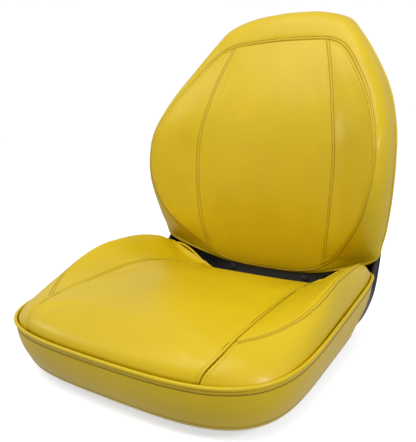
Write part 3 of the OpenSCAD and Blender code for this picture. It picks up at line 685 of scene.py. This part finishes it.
# ---- Seat bead ---------------------------------------------------------------------------------
# The rolled welt where the top cover meets the boxing: a cord wrapped in the same vinyl. It is a
# ring laid along the seam line, drawn in a little by every stitch. Behind, it is tucked under.
bead_gathers = 350
tuck_down = 7
tuck_in = 3.5


def rolled_sheet(name, rows, columns, place, merge=0.0):
    """A grid primitive laid by place(row share, column share), and merged where it meets itself."""
    bpy.ops.object.select_all(action="DESELECT")
    bpy.ops.mesh.primitive_grid_add(x_subdivisions=columns, y_subdivisions=rows, size=2)
    piece = bpy.context.object
    piece.name = name
    for v in piece.data.vertices:
        v.co = place((v.co.y + 1) / 2, (v.co.x + 1) / 2)
    if merge:
        bpy.ops.object.mode_set(mode="EDIT")
        bpy.ops.mesh.select_all(action="SELECT")
        bpy.ops.mesh.remove_doubles(threshold=merge)
        bpy.ops.mesh.normals_make_consistent(inside=False)
        bpy.ops.object.mode_set(mode="OBJECT")
    bpy.ops.object.shade_smooth()
    return piece


def ring_along(name, line, radius, upward, pucker, sides=10):
    """A tube laid along a closed line; pucker is the share of its radius that it gathers by."""
    count = len(line)

    def tube_place(length_share, turn_share):
        step = round(length_share * count) % count
        tangent = (line[(step + 1) % count] - line[step - 1]).normalized()
        aside = tangent.cross(upward).normalized()
        turn = math.tau * turn_share
        gather = 1 - pucker * (0.5 + 0.5 * math.cos(math.tau * step * bead_gathers / count))
        out = aside * math.cos(turn) + aside.cross(tangent) * math.sin(turn)
        return line[step] + out * radius * gather

    return rolled_sheet(name, count, sides, tube_place, 0.01 * MM)


def bead_place(angle):
    """Centre of the bead at a polar angle: on the full outline, but tucked in across the rear."""
    rear = ease(math.sin(math.radians(angle)), 0.60, 0.74)
    x, y = edge(angle, tuck_in * rear)
    return seat_point(x, y, edge_z(x, y) - tuck_down * rear, 0)


bead = ring_along(
    "seat_bead_welt", [bead_place(a / 5) for a in range(1800)], bead_r * MM, Vector((0, 0, 1)), 0.05
)
fit_out(bead, vinyl, "yellow_vinyl", "seat_bead")

# ---- Boxing ------------------------------------------------------------------------------------
# The band of vinyl that drops from the bead round the front and sides. Its lower edge is turned
# under and stitched; heavy thread also holds it just below the bead.
boxing_inset = 17.6
boxing_swell = 4
boxing_end_high = 150  # how far back the band's two ends come: at the bead, and at its lower edge
boxing_end_low = 64
boxing_gap = 0.4
boxing_steps = 300
boxing_width = 62
boxing_stitch_drop = 5.2  # stitches below the bead
boxing_hem_drop = 5.5  # stitches above the hem
heavy_pitch = 4.6 * MM


def end_angle(y):
    """Polar angle of the outline's point at a depth, on the right side."""
    t = (y - mid_y) / half_d
    return math.degrees(math.atan2(t, (1 - t**rear_square) ** (1 / rear_square)))


def boxing_place(b, a):
    """Point of the band: b from -1 at one end to 1 at the other, a from 0 at the bead to 1 at the hem."""
    end = end_angle(boxing_end_high - (boxing_end_high - boxing_end_low) * ease(a, 0.25, 0.75))
    x, y = edge(-90 + abs(b) * (end + 90), boxing_inset * a - boxing_swell * math.sin(math.pi * a))
    high = edge_z(x, y) - bead_r - boxing_gap
    low = 21 + 25 * part_of(y, front_y, rear_y) ** 1.5
    return seat_point(math.copysign(x, b), y, high + a * (low - high), 0)


upright = Vector((0, 0, 1))


def boxing_row(b):
    """One strip of the band from the bead down, then round its turned hem and up behind it."""
    face = [boxing_place(b, a) for a in spread(boxing_width, 5)]
    foot = face[-1]
    inward = (Vector((0, mid_y * MM, foot.z)) - foot).normalized()
    turned = [
        foot + (inward * 0.4 - upright * 0.6) * MM, foot + inward * 1.0 * MM,
        foot + (inward * 1.2 + upright * 5) * MM, foot + (inward * 1.2 + upright * 11) * MM,
    ]
    return face + turned


boxing_rows = [boxing_row(2 * i / boxing_steps - 1) for i in range(boxing_steps + 1)]
boxing = new_piece("seat_boxing_band", quilt([boxing_rows]))


def pinned_near(piece, tree, reach):
    """Whether each vertex is nearer than reach to a seam, or out of sight behind the cover."""
    hidden = piece.data.attributes.get("hidden")
    behind = [d.value > 0.5 for d in hidden.data] if hidden else [False] * len(piece.data.vertices)
    return [h or tree.find(v.co)[2] < reach for v, h in zip(piece.data.vertices, behind)]


def thicken(piece, thickness):
    """Gives a sheet of vinyl its wall, inward from the face that shows."""
    bpy.ops.object.select_all(action="DESELECT")
    bpy.context.view_layer.objects.active = piece
    piece.select_set(True)
    wall = piece.modifiers.new("wall", "SOLIDIFY")
    wall.thickness = thickness
    wall.offset = -1
    bpy.ops.object.modifier_apply(modifier=wall.name)


box_steps = [2 * i / 600 - 1 for i in range(601)]
box_top_line = [boxing_place(b, 0.004) for b in box_steps]
box_hem_line = [boxing_place(b, 1) for b in box_steps]
box_stitch_line = [boxing_place(b, boxing_stitch_drop / boxing_width) for b in box_steps]
box_end_lines = [[boxing_place(b, a / 30) for a in range(31)] for b in (-1, 1)]
box_tree = seam_tree([box_top_line, box_hem_line, box_stitch_line, *box_end_lines])
outward_faces(boxing)
swell(boxing, pinned_near(boxing, box_tree, 3 * MM), 2.5, 0.003)
thicken(boxing, 1.1 * MM)
smooth(boxing, 0)
sew(boxing, seam_tree([box_stitch_line]), lambda p, panel: False, 0.7, 0)
fit_out(boxing, vinyl, "yellow_vinyl", "seat_boxing")
box_surface = surface_of(boxing)
box_lower_line = [boxing_place(b, 1 - boxing_hem_drop / boxing_width) for b in box_steps]
stitch_row("boxing_top_stitches", [beside(box_stitch_line, box_surface, 0, heavy_pitch)], thickness=1.5)
stitch_row("boxing_hem_stitches", [beside(box_lower_line, box_surface, 0, heavy_pitch)])

# ---- Back cushion ------------------------------------------------------------------------------
# A high back pad: centre panel, a panel on each side where it wraps the shoulders, and a deep
# border that rolls round to a hem behind. It is sewn, blown up and stitched like the seat's cover.
outline = [  # parameter from the bottom centre to the top centre, then the seam's place
    [0, 0, 208, 88], [0.08, 60, 206, 91], [0.15, 107, 200, 103], [0.22, 148, 184, 132],
    [0.30, 185, 146, 179], [0.38, 208, 127, 220], [0.46, 223, 117, 270], [0.54, 229, 121, 320],
    [0.62, 224, 133, 365], [0.70, 204, 168, 420], [0.78, 172, 205, 473], [0.86, 135, 236, 520],
    [0.90, 105, 244, 536], [0.95, 55, 247, 541], [1, 0, 248, 543],
]
hem_line = [  # the same for the hem behind
    [0, 0, 216, 84.5], [0.08, 60, 215, 86.5], [0.15, 125, 205, 98], [0.22, 219, 184, 134],
    [0.30, 236, 190, 172], [0.38, 244, 188, 220], [0.46, 249, 182, 270], [0.54, 250, 183, 322],
    [0.62, 244, 199, 375], [0.70, 224, 231, 437], [0.78, 190, 264, 497], [0.86, 149, 286, 555],
    [0.90, 124, 295, 580], [0.95, 70, 301, 597], [1, 0, 302, 602],
]
back_centre = [  # height, then the depth of the pad's middle
    [88, 208], [103, 203], [120, 199], [170, 188], [227, 180], [276, 178], [323, 179], [354, 181],
    [404, 191], [457, 209], [507, 231], [543, 248],
]
upright_seam = [  # height, then how far each upright seam is from the middle
    [88, 100], [112, 122], [165, 134], [225, 140], [285, 143], [350, 141], [457, 121], [539, 97],
]


def slope_at(table, i):
    before, after = table[max(i - 1, 0)], table[min(i + 1, len(table) - 1)]
    return [(q - p) / (after[0] - before[0]) for p, q in zip(before, after)]


def along(table, t):
    """Smooth curve through the rows of a table whose first column is the parameter."""
    i = next((k for k in range(len(table) - 2) if t < table[k + 1][0]), len(table) - 2)
    h = table[i + 1][0] - table[i][0]
    s = (t - table[i][0]) / h
    weights = (2 * s**3 - 3 * s**2 + 1, (s**3 - 2 * s**2 + s) * h, 3 * s**2 - 2 * s**3, (s**3 - s**2) * h)
    columns = zip(table[i], slope_at(table, i), table[i + 1], slope_at(table, i + 1))
    return [sum(w * c for w, c in zip(weights, column)) for column in columns][1:]


def insert_place(u, f):
    """Point of the pad's front on the row of parameter u, f of the way from the middle to the outline."""
    x, y, z = along(outline, u)
    y0 = along(back_centre, z)[0]
    return Vector((x * f, y0 + (y - y0) * part_of(abs(f), 0.45, 1) ** 2, z)) * MM


def border_place(u, s):
    """Point of the border, s of the way from the outline to the hem."""
    start, end = Vector(along(outline, u)), Vector(along(hem_line, u))
    step = end - start
    bulge = start + Vector((1.12 * step.x, 0.18 * step.y, 1.18 * step.z))
    return ((1 - s) ** 2 * start + 2 * s * (1 - s) * bulge + s**2 * end) * MM


def seam_share(u):
    x, y, z = along(outline, u)
    return min(along(upright_seam, z)[0] / max(x, 0.01), 1)


back_steps = 124
outline_walk = arc_walk([(*along(outline, i / 600), i / 600) for i in range(601)], back_steps)
row_us = [p[3] for p in outline_walk]
wing_rows = [u for u in row_us if seam_share(u) < 0.9995]
wing_first, wing_last = row_us.index(wing_rows[0]) - 1, row_us.index(wing_rows[-1]) + 1


def pad_row(u, low, high, count):
    """A row of the pad's front between two shares of its half-width."""
    width = max((high - low) * along(outline, u)[0], 0.01)
    return [insert_place(u, low + f * (high - low)) for f in spread(width, count)]


def border_row(u):
    span = math.dist(along(outline, u), along(hem_line, u)) * 1.15
    return [border_place(u, s) for s in spread(span, 6)]


back_middle = [pad_row(u, -seam_share(u), seam_share(u), 38) for u in row_us]
right_wing = [pad_row(u, seam_share(u), 1, 6) for u in row_us[wing_first:wing_last + 1]]
right_border = [border_row(u) for u in row_us]
back_mesh = quilt([back_middle, right_wing, mirror_x(right_wing), right_border, mirror_x(right_border)])


shell_foot_y = 209.4  # the shell's back, where its line meets the mounting face
recline_rise = 0.1691  # and its lean for each millimetre of height
cover_rear = 17.8  # outer face of the shell to the cover's rear, which lies just before the board


def shell_plane(z):
    """Depth of the flat rear of the back cover at a height."""
    return shell_foot_y + recline_rise * z - cover_rear


pad_mid_z = 325


def rear_ring(shrink, depth):
    """A ring behind the pad: pulled in towards its middle and moved back towards its flat rear."""

    def ring(p):
        z = pad_mid_z * MM + (p.z - pad_mid_z * MM) * shrink
        return Vector((p.x * shrink, p.y + (shell_plane(z / MM) * MM - p.y) * depth, z))

    return ring


close_below(
    back_mesh,
    [rear_ring(0.955, 0.02), rear_ring(0.93, 0.35), rear_ring(0.88, 0.75), rear_ring(0.8, 1)],
)
upright_line = [
    insert_place(u, seam_share(u))
    for u in (wing_rows[0] + (wing_rows[-1] - wing_rows[0]) * i / 700 for i in range(701))
]
outline_half = [insert_place(i / 900, 1) for i in range(901)]
hem_half = [Vector(along(hem_line, i / 700)) * MM for i in range(701)]
back_cover = new_piece("back_cushion", back_mesh)
back_tree = seam_tree([upright_line, flip(upright_line), outline_half, flip(outline_half)])
hem_tree = seam_tree([hem_half, flip(hem_half)])
held = [
    a or b for a, b in
    zip(pinned_near(back_cover, back_tree, seam_reach), pinned_near(back_cover, hem_tree, 4 * MM))
]
swell(back_cover, held, 4, 0.006)
smooth(back_cover, 1)
sew(back_cover, back_tree, lambda p, panel: panel > 0.5)
fit_out(
    back_cover, vinyl, "yellow_vinyl", "back_foam", "back_centre_panel", "left_wing_panel",
    "right_wing_panel", "back_border",
)
back_surface = surface_of(back_cover)
stitch_row("back_upright_stitches", [
    beside(upright_line, back_surface, offset, stitch_pitch, 1),
    beside(flip(upright_line), back_surface, offset, stitch_pitch, -1),
])
stitch_row("back_outline_stitches", [
    beside(outline_half, back_surface, offset, stitch_pitch, 1),
    beside(flip(outline_half), back_surface, offset, stitch_pitch, -1),
])
hem = ring_along(
    "back_hem_welt", [*hem_half, *reversed(flip(hem_half)[1:-1])], 2.6 * MM, Vector((0, -1, 0)), 0.05
)
fit_out(hem, vinyl, "yellow_vinyl", "back_hem")

# ---- Shell -------------------------------------------------------------------------------------
# One black moulding carries both cushions: a flat floor with upturned sides that runs up into the
# back, with a rolled rim, ribs at the lower rear corners and a shallow pressed panel behind.
shell_stations = [  # parameter, y and z on the centre line, then x, y and z on the rim
    [0, -246, 50, 196, -234, 50], [0.04, -242, 30, 204, -227, 50], [0.09, -227, 18.5, 208, -203, 50],
    [0.14, -205, 16, 211, -175, 50], [0.20, -150, 16, 213, -130, 50], [0.28, -70, 16, 217, -60, 53],
    [0.36, 0, 16, 220, 0, 56], [0.44, 80, 16, 225, 70, 63], [0.50, 130, 16, 228, 115, 80],
    [0.53, 162, 16, 229, 145, 100], [0.57, 190, 23, 229, 172, 120], [0.62, 212, 43, 228, 191, 140],
    [0.66, 222, 74, 229, 198, 163], [0.70, 228.8, 115, 232, 197, 195], [0.74, 238.1, 170, 237, 194, 232],
    [0.78, 248.3, 230, 242, 188, 275], [0.82, 260.1, 300, 243, 190, 322], [0.86, 272, 370, 236, 207, 377],
    [0.90, 283.8, 440, 216, 239, 439], [0.94, 294, 500, 182, 272, 499], [0.97, 303.3, 555, 141, 294, 556],
    [0.985, 307.5, 580, 117, 303, 580], [0.995, 310, 596, 66, 308, 596], [1, 310.5, 603, 14, 309.5, 602],
]
shell_wall = 4 * MM
floor_flat = 168
back_flat_gain = 17
shell_rows = 330
shell_half_columns = 46
rib_pitch = 0.012  # ribs of the lower corner, by the shell's parameter
rib_height = 1.4


def shell_place(v, across):
    """Point of the shell's outer face: v from its front lip to its top, across from -1 to 1."""
    y0, z0, x1, y1, z1 = along(shell_stations, v)
    z0 = max(z0, 16)
    flat_x = min(floor_flat + back_flat_gain * ease(v, 0.5, 0.66), x1 * 0.8)
    share = abs(across)
    if share <= 0.5:
        x, y, z = flat_x * share / 0.5, y0, z0
    else:
        a = math.pi * (share - 0.5)
        up = 1 - math.cos(a)
        belly = 7 * ease(v, 0.42, 0.53) * (1 - ease(v, 0.66, 0.8))
        rib_rows = ease(v, 0.53, 0.56) * (1 - ease(v, 0.67, 0.70))
        ribbed = rib_rows * ease(share, 0.74, 0.8) * (1 - ease(share, 0.95, 0.98))
        groove = rib_height * ribbed * (0.5 + 0.5 * math.sin(math.tau * v / rib_pitch)) ** 0.6
        x = flat_x + (x1 - flat_x) * math.sin(a) + belly * math.sin(2 * a) - groove
        y, z = y0 + (y1 - y0) * up, z0 + (z1 - z0) * up
    pressed = ease(v, 0.74, 0.75) * (1 - ease(v, 0.94, 0.95)) * (1 - ease(share, 0.36, 0.39))
    return Vector((math.copysign(x, across), y - 1.6 * pressed, z)) * MM


def shell_finish():
    """Moulded polypropylene: near black, with a fine spark-eroded grain and faint flow clouds."""
    material, shader, place = start_finish("shell_plastic", Specular_IOR_Level=0.45)
    pebble = place.cloud(1900, 2)
    flow = place.cloud(11, 3).between(0.35, 0.7)
    dust = place.cloud(85, 4).between(0.58, 0.8)
    black = flow.mix((0.013, 0.013, 0.014), (0.019, 0.019, 0.020))
    drive(
        shader,
        Base_Color=(0.10 * dust).mix(black, (0.10, 0.095, 0.085)),
        Roughness=0.42 + 0.08 * flow + 0.12 * dust,
        Normal=place.raised(pebble, 0.00007),
    )
    return material


shell = rolled_sheet(
    "shell_moulding", shell_rows, 2 * shell_half_columns, lambda v, t: shell_place(v, 2 * t - 1)
)
outward_faces(shell)
thicken(shell, shell_wall)
bpy.ops.object.shade_smooth_by_angle(angle=math.radians(40))


def add_cylinder(radius, depth, middle, turn=0.0, vertices=48):
    """A cylinder along Z, or turned about X, with its place in its mesh."""
    bpy.ops.object.select_all(action="DESELECT")
    bpy.ops.mesh.primitive_cylinder_add(
        vertices=vertices, radius=radius, depth=depth, location=middle, rotation=(turn, 0, 0)
    )
    bpy.ops.object.transform_apply()
    return bpy.context.object


def join(pieces):
    """Joins pieces into the first of them."""
    bpy.ops.object.select_all(action="DESELECT")
    for piece in pieces:
        piece.select_set(True)
    bpy.context.view_layer.objects.active = pieces[0]
    bpy.ops.object.join()
    return pieces[0]


def cut(piece, cutter, keep=False):
    """Takes a cutter's shape out of a piece."""
    gone = piece.modifiers.new("cut", "BOOLEAN")
    gone.object = cutter
    bpy.ops.object.select_all(action="DESELECT")
    bpy.context.view_layer.objects.active = piece
    piece.select_set(True)
    bpy.ops.object.modifier_apply(modifier=gone.name)
    if not keep:
        bpy.data.objects.remove(cutter)


def middle_of(node):
    low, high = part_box(node)
    return (low + high) / 2


def on_back(x, z, depth):
    """Place by the shell's leaning back: depth behind its outer face, or before it where negative."""
    y = shell_foot_y + recline_rise * z + depth * math.cos(back_lean)
    return Vector((x, y, z - depth * math.sin(back_lean))) * MM


back_lean = math.atan(recline_rise)
back_turn = math.pi / 2 - back_lean
floor_screws = [(x, y) for x in (-50, 50) for y in (-185, 105)]
back_screws = [(x, z) for x in (-110, 110) for z in (190, 440)]
boss_r = 10 * MM
screw_hole_r = 3.25 * MM
drain_r = 8 * MM
switch_hole_r = 12.3 * MM
through = 30 * MM  # long enough to drill right through the wall
floor_mid_z = 0.018
bosses = join(
    [add_cylinder(boss_r, 8 * MM, Vector((x, y, 22)) * MM) for x, y in floor_screws]
    + [add_cylinder(boss_r, 5 * MM, on_back(x, z, -4.5), back_turn) for x, z in back_screws]
)
drills = join(
    [add_cylinder(screw_hole_r, through, Vector((x, y, 20)) * MM, 0, 24) for x, y in floor_screws]
    + [add_cylinder(screw_hole_r, through, on_back(x, z, 0), back_turn, 24) for x, z in back_screws]
    + [add_cylinder(drain_r, through, middle_of("drain_grommet"))]
    + [add_cylinder(switch_hole_r, through, Vector((0, middle_of("switch_plunger").y, floor_mid_z)))]
)
cut(bosses, drills, keep=True)
cut(shell, drills)
shell = join([shell, bosses])
bpy.ops.object.shade_smooth_by_angle(angle=math.radians(40))
shell_black = shell_finish()
fit_out(shell, shell_black, "shell_plastic", "seat_shell")
rim_half = [shell_place(0.996 * i / 420, 1) for i in range(421)]
front_lip = [shell_place(0, 1 - 2 * i / 120) for i in range(1, 120)]
rim_line = [*rim_half, *reversed(flip(rim_half)), *reversed(front_lip)]
shell_rim = ring_along("shell_rim", rim_line, 2.7 * MM, Vector((0.2, -0.6, 0.8)).normalized(), 0)
fit_out(shell_rim, shell_black, "shell_plastic")

# ---- Waist screws ------------------------------------------------------------------------------
# Two black pan-head screws with washers show between the cushions, where the shell's floor turns
# up into its back. Each head is turned, domed and has a pressed cross recess.
waist_tilt = math.radians(-12)
screw_head_r = 5.6 * MM
screw_head_h = 3.0 * MM
recess_depth = 1.9 * MM
washer_r = 7.5 * MM


def plain_finish(name, colour, roughness, metallic=0.0, lumps=40, grain=1500, depth=0.00003):
    """A finish with soft clouds in its colour and gloss, and a fine tooth."""
    material, shader, place = start_finish(name, Metallic=metallic)
    cloudy = place.cloud(lumps, 3).between(0.35, 0.65)
    tooth = place.cloud(grain, 2)
    drive(
        shader,
        Base_Color=cloudy.mix(shade_of(colour, 0.88), shade_of(colour, 1.12)),
        Roughness=roughness + 0.10 * cloudy,
        Normal=place.raised(tooth, depth),
    )
    return material


def bevelled(piece, width, segments=3):
    edge_round = piece.modifiers.new("round", "BEVEL")
    edge_round.width = width
    edge_round.segments = segments
    edge_round.limit_method = "ANGLE"
    bpy.context.view_layer.objects.active = piece
    bpy.ops.object.modifier_apply(modifier=edge_round.name)


def pan_head(name):
    """A domed head standing on the origin and facing +Z, with its washer under it and its shank below."""
    head = add_cylinder(screw_head_r, screw_head_h, (0, 0, 1.2 * MM + screw_head_h / 2))
    head.name = name
    bevelled(head, 1.5 * MM, 5)
    for size in ((1.5, 6.4), (6.4, 1.5)):
        bpy.ops.mesh.primitive_cube_add(size=1, location=(0, 0, 1.2 * MM + screw_head_h))
        arm = bpy.context.object
        arm.scale = (size[0] * MM, size[1] * MM, 2 * recess_depth)
        bpy.ops.object.transform_apply(location=True, scale=True)
        cut(head, arm)
    washer = add_cylinder(washer_r, 1.1 * MM, (0, 0, 0.55 * MM))
    bevelled(washer, 0.3 * MM, 2)
    shank = add_cylinder(3.0 * MM, 14 * MM, (0, 0, -6.5 * MM), 0, 32)
    join([head, washer, shank])
    bpy.ops.object.shade_smooth_by_angle(angle=math.radians(35))
    return head


washers_low, washers_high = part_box("waist_washers")
black_steel = plain_finish("black_steel", (0.05, 0.05, 0.052), 0.34, 0.6)
for side, name in ((-1, "left_waist_screw"), (1, "right_waist_screw")):
    screw = pan_head(name)
    middle = (washers_low + washers_high) / 2
    spot = Vector((side * (washers_high.x - washer_r), middle.y + 0.5 * MM, middle.z))
    turn = Matrix.Rotation(waist_tilt, 4, "X") @ Matrix.Rotation(math.pi / 2, 4, "X")
    screw.data.transform(Matrix.Translation(spot) @ turn)
    fit_out(screw, black_steel, "black_steel", "waist_screws", "waist_washers")

# ---- Rails, boards and fasteners ---------------------------------------------------------------
# Pressed steel rails under the floor, plywood boards inside the cushions and zinc-plated fasteners.
# They are the measured parts themselves, given their finishes.
nodes = frame["nodes"]


def dress(material, *names):
    """Gives measured parts their finish."""
    for name in names:
        nodes[name].data.materials.clear()
        nodes[name].data.materials.append(material)


def plywood_finish():
    """Birch plywood: long soft figure on the face and small dark pores."""
    material, shader, place = start_finish("plywood", Specular_IOR_Level=0.3)
    stretched = place.add("ShaderNodeMapping", {}, {"Vector": place, "Scale": (60, 4, 700)}, "Vector")
    figure = stretched.cloud(1, 4)
    pores = place.cloud(600, 2).between(0.6, 0.7)
    drive(
        shader,
        Base_Color=(0.35 * pores).mix(figure.mix((0.42, 0.26, 0.12), (0.60, 0.42, 0.23)), (0.20, 0.11, 0.05)),
        Roughness=0.62 + 0.12 * figure,
        Normal=place.raised(figure - 0.5 * pores, 0.00015),
    )
    return material


def zinc_finish():
    """Bright zinc plate with a faint spangle and a warm cast in places."""
    material, shader, place = start_finish("zinc_plate", Metallic=0.95)
    spangle = place.add("ShaderNodeTexVoronoi", {}, {"Vector": place, "Scale": 420.0}, "Distance")
    cast = place.cloud(60, 2).between(0.4, 0.7)
    drive(
        shader,
        Base_Color=cast.mix((0.62, 0.63, 0.64), (0.70, 0.64, 0.50)),
        Roughness=0.24 + 0.16 * spangle,
        Normal=place.raised(spangle, 0.00002),
    )
    return material


powder_coat = plain_finish("rail_powder_coat", (0.022, 0.022, 0.023), 0.40, 0.0, 30, 1100, 0.00006)
dress(powder_coat, "left_rail", "right_rail")
dress(plywood_finish(), "seat_base_board", "back_board")
dress(
    zinc_finish(), "weld_nuts", "rail_bolts", "rail_washers", "rail_nuts", "seat_t_nuts",
    "seat_cushion_screws", "seat_screw_washers", "back_t_nuts", "back_cushion_screws",
    "back_screw_washers", "waist_nuts", "switch_spring",
)

# ---- Presence switch and grommet ---------------------------------------------------------------
# A sprung plunger under the cushion tells the machine that someone is seated: black nylon body, red
# cap, white plunger and brass blades on a rubber gasket. A rubber grommet lines the drain hole.
dress(plain_finish("switch_nylon", (0.013, 0.013, 0.014), 0.45, 0.0, 90, 1700, 0.00005), "switch_body")
dress(plain_finish("red_cap", (0.48, 0.018, 0.013), 0.28, 0.0, 120, 1500, 0.00002), "switch_cap")
dress(plain_finish("white_acetal", (0.78, 0.78, 0.73), 0.30, 0.0, 120, 1500, 0.00002), "switch_plunger")
dress(plain_finish("brass_blades", (0.72, 0.50, 0.19), 0.27, 0.95, 160, 1500, 0.00002), "switch_terminals")
rubber = plain_finish("black_rubber", (0.014, 0.014, 0.014), 0.72, 0.0, 70, 1300, 0.00010)
dress(rubber, "switch_gasket", "drain_grommet")
